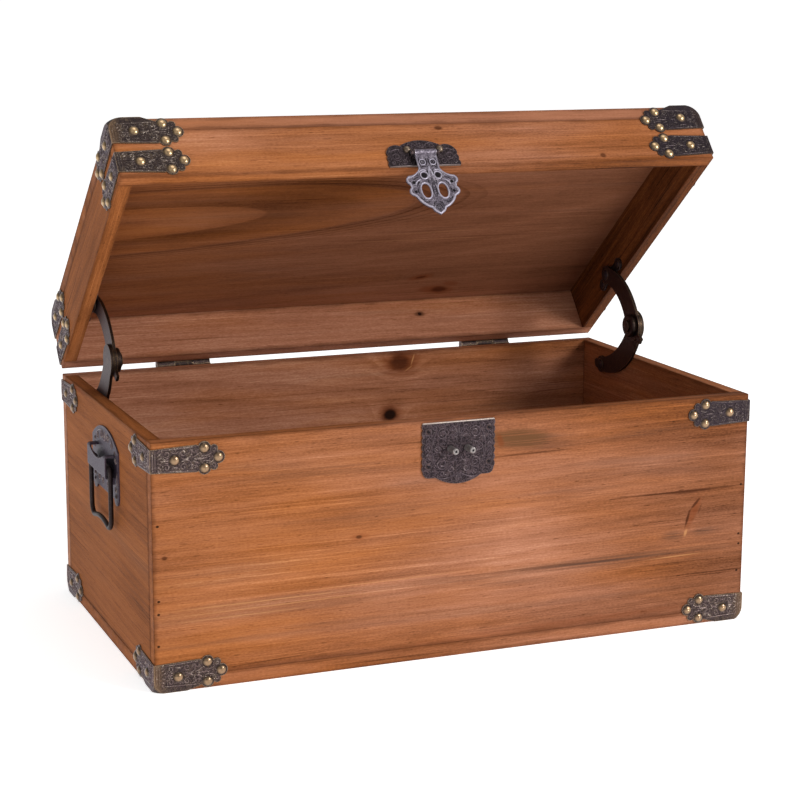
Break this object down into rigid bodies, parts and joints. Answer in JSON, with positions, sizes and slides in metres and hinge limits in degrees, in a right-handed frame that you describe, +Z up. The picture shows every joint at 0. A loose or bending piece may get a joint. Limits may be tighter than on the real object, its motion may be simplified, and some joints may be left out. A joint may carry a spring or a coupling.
{
  "type": "sea chest",
  "caption": "Small stained-pine sea chest with a lift-up lid on butt hinges, folding lid stays, scalloped bronze corner brackets, brass nails, a drop hasp and swinging side handles",
  "frame": {"origin": "centre of the underside of the chest", "axes": "+X to the right along the width, +Y to the back where the hinges are, +Z up"},
  "size_m": [0.4242, 0.2706, 0.3417],
  "materials": {
    "stained_pine": "stained and varnished softwood",
    "bronzed_steel": "dark antique bronze on stamped sheet",
    "worn_latch_metal": "bronzed plating worn back to bright metal",
    "brass_nails": "antique brass, darker in the hollows",
    "small_fasteners": "dark bronze",
    "steel": "plain steel wire"
  },
  "bodies": {
    "base": {"bottom_panel": "stained_pine", "front_lower_board": "stained_pine", "front_upper_board": "stained_pine", "back_panel": "stained_pine", "left_panel": "stained_pine", "right_panel": "stained_pine", "base_top_corner_front_left": "bronzed_steel", "base_top_corner_front_right": "bronzed_steel", "base_top_corner_back_left": "bronzed_steel", "base_top_corner_back_right": "bronzed_steel", "base_bottom_corner_front_left": "bronzed_steel", "base_bottom_corner_front_right": "bronzed_steel", "base_bottom_corner_back_left": "bronzed_steel", "base_bottom_corner_back_right": "bronzed_steel", "base_corner_nails": "brass_nails", "strike_plate": "bronzed_steel", "strike_posts": "worn_latch_metal", "plate_nails": "small_fasteners", "left_hinge_base_leaf": "bronzed_steel", "right_hinge_base_leaf": "bronzed_steel", "hinge_pins": "steel", "hinge_base_screws": "small_fasteners", "left_handle_plate": "bronzed_steel", "right_handle_plate": "bronzed_steel", "left_handle_strap": "bronzed_steel", "right_handle_strap": "bronzed_steel", "stay_base_studs": "small_fasteners"},
    "lid": {"lid_front_rail": "stained_pine", "lid_back_rail": "stained_pine", "lid_left_rail": "stained_pine", "lid_right_rail": "stained_pine", "lid_top_panel": "stained_pine", "lid_top_corner_front_left": "bronzed_steel", "lid_top_corner_front_right": "bronzed_steel", "lid_top_corner_back_left": "bronzed_steel", "lid_top_corner_back_right": "bronzed_steel", "lid_rim_corner_front_left": "bronzed_steel", "lid_rim_corner_front_right": "bronzed_steel", "lid_rim_corner_back_left": "bronzed_steel", "lid_rim_corner_back_right": "bronzed_steel", "lid_corner_nails": "brass_nails", "hasp_plate": "bronzed_steel", "hasp_rivets": "worn_latch_metal", "hasp_pin": "steel", "left_hinge_lid_leaf": "bronzed_steel", "right_hinge_lid_leaf": "bronzed_steel", "hinge_lid_screws": "small_fasteners", "left_stay_lid_plate": "bronzed_steel", "right_stay_lid_plate": "bronzed_steel", "stay_lid_studs": "small_fasteners", "stay_lid_screws": "small_fasteners"},
    "hasp": {"hasp": "worn_latch_metal"},
    "left_bail": {"left_bail": "bronzed_steel"},
    "right_bail": {"right_bail": "bronzed_steel"},
    "left_stay_lower": {"left_stay_lower_arm": "bronzed_steel", "left_stay_knob": "bronzed_steel"},
    "left_stay_upper": {"left_stay_upper_arm": "bronzed_steel"},
    "right_stay_lower": {"right_stay_lower_arm": "bronzed_steel", "right_stay_knob": "bronzed_steel"},
    "right_stay_upper": {"right_stay_upper_arm": "bronzed_steel"}
  },
  "joints": [
    {"name": "lid_hinge", "type": "hinge", "parent": "base", "child": "lid", "pos_m": [0, 0.1184, 0.1565], "axis": [1, 0, 0], "range_deg": [0, 40.28]},
    {"name": "hasp_swing", "type": "hinge", "parent": "lid", "child": "hasp", "pos_m": [-0.0062, -0.05729, 0.31731], "axis": [1, 0, 0], "range_deg": [-100, 0]},
    {"name": "left_bail_swing", "type": "hinge", "parent": "base", "child": "left_bail", "pos_m": [-0.2092, -0.007, 0.122], "axis": [0, 1, 0], "range_deg": [0, 175]},
    {"name": "right_bail_swing", "type": "hinge", "parent": "base", "child": "right_bail", "pos_m": [0.2092, -0.007, 0.122], "axis": [0, -1, 0], "range_deg": [0, 175]},
    {"name": "left_stay_lower_fold", "type": "hinge", "parent": "base", "child": "left_stay_lower", "pos_m": [-0.1946, 0.07345, 0.1433], "axis": [1, 0, 0], "range_deg": [0, 60.3]},
    {"name": "left_stay_upper_fold", "type": "hinge", "parent": "lid", "child": "left_stay_upper", "pos_m": [-0.1922, 0.06443, 0.21207], "axis": [1, 0, 0], "range_deg": [-17.7, 0]},
    {"name": "right_stay_lower_fold", "type": "hinge", "parent": "base", "child": "right_stay_lower", "pos_m": [0.1946, 0.07345, 0.1433], "axis": [1, 0, 0], "range_deg": [0, 60.3]},
    {"name": "right_stay_upper_fold", "type": "hinge", "parent": "lid", "child": "right_stay_upper", "pos_m": [0.1922, 0.06443, 0.21207], "axis": [1, 0, 0], "range_deg": [-17.7, 0]}
  ],
  "couplings": [
    {"joint": "left_stay_lower_fold", "follows": "lid_hinge", "ratio": 1.4824},
    {"joint": "left_stay_upper_fold", "follows": "lid_hinge", "ratio": -0.42367},
    {"joint": "right_stay_lower_fold", "follows": "lid_hinge", "ratio": 1.4824},
    {"joint": "right_stay_upper_fold", "follows": "lid_hinge", "ratio": -0.42367}
  ]
}
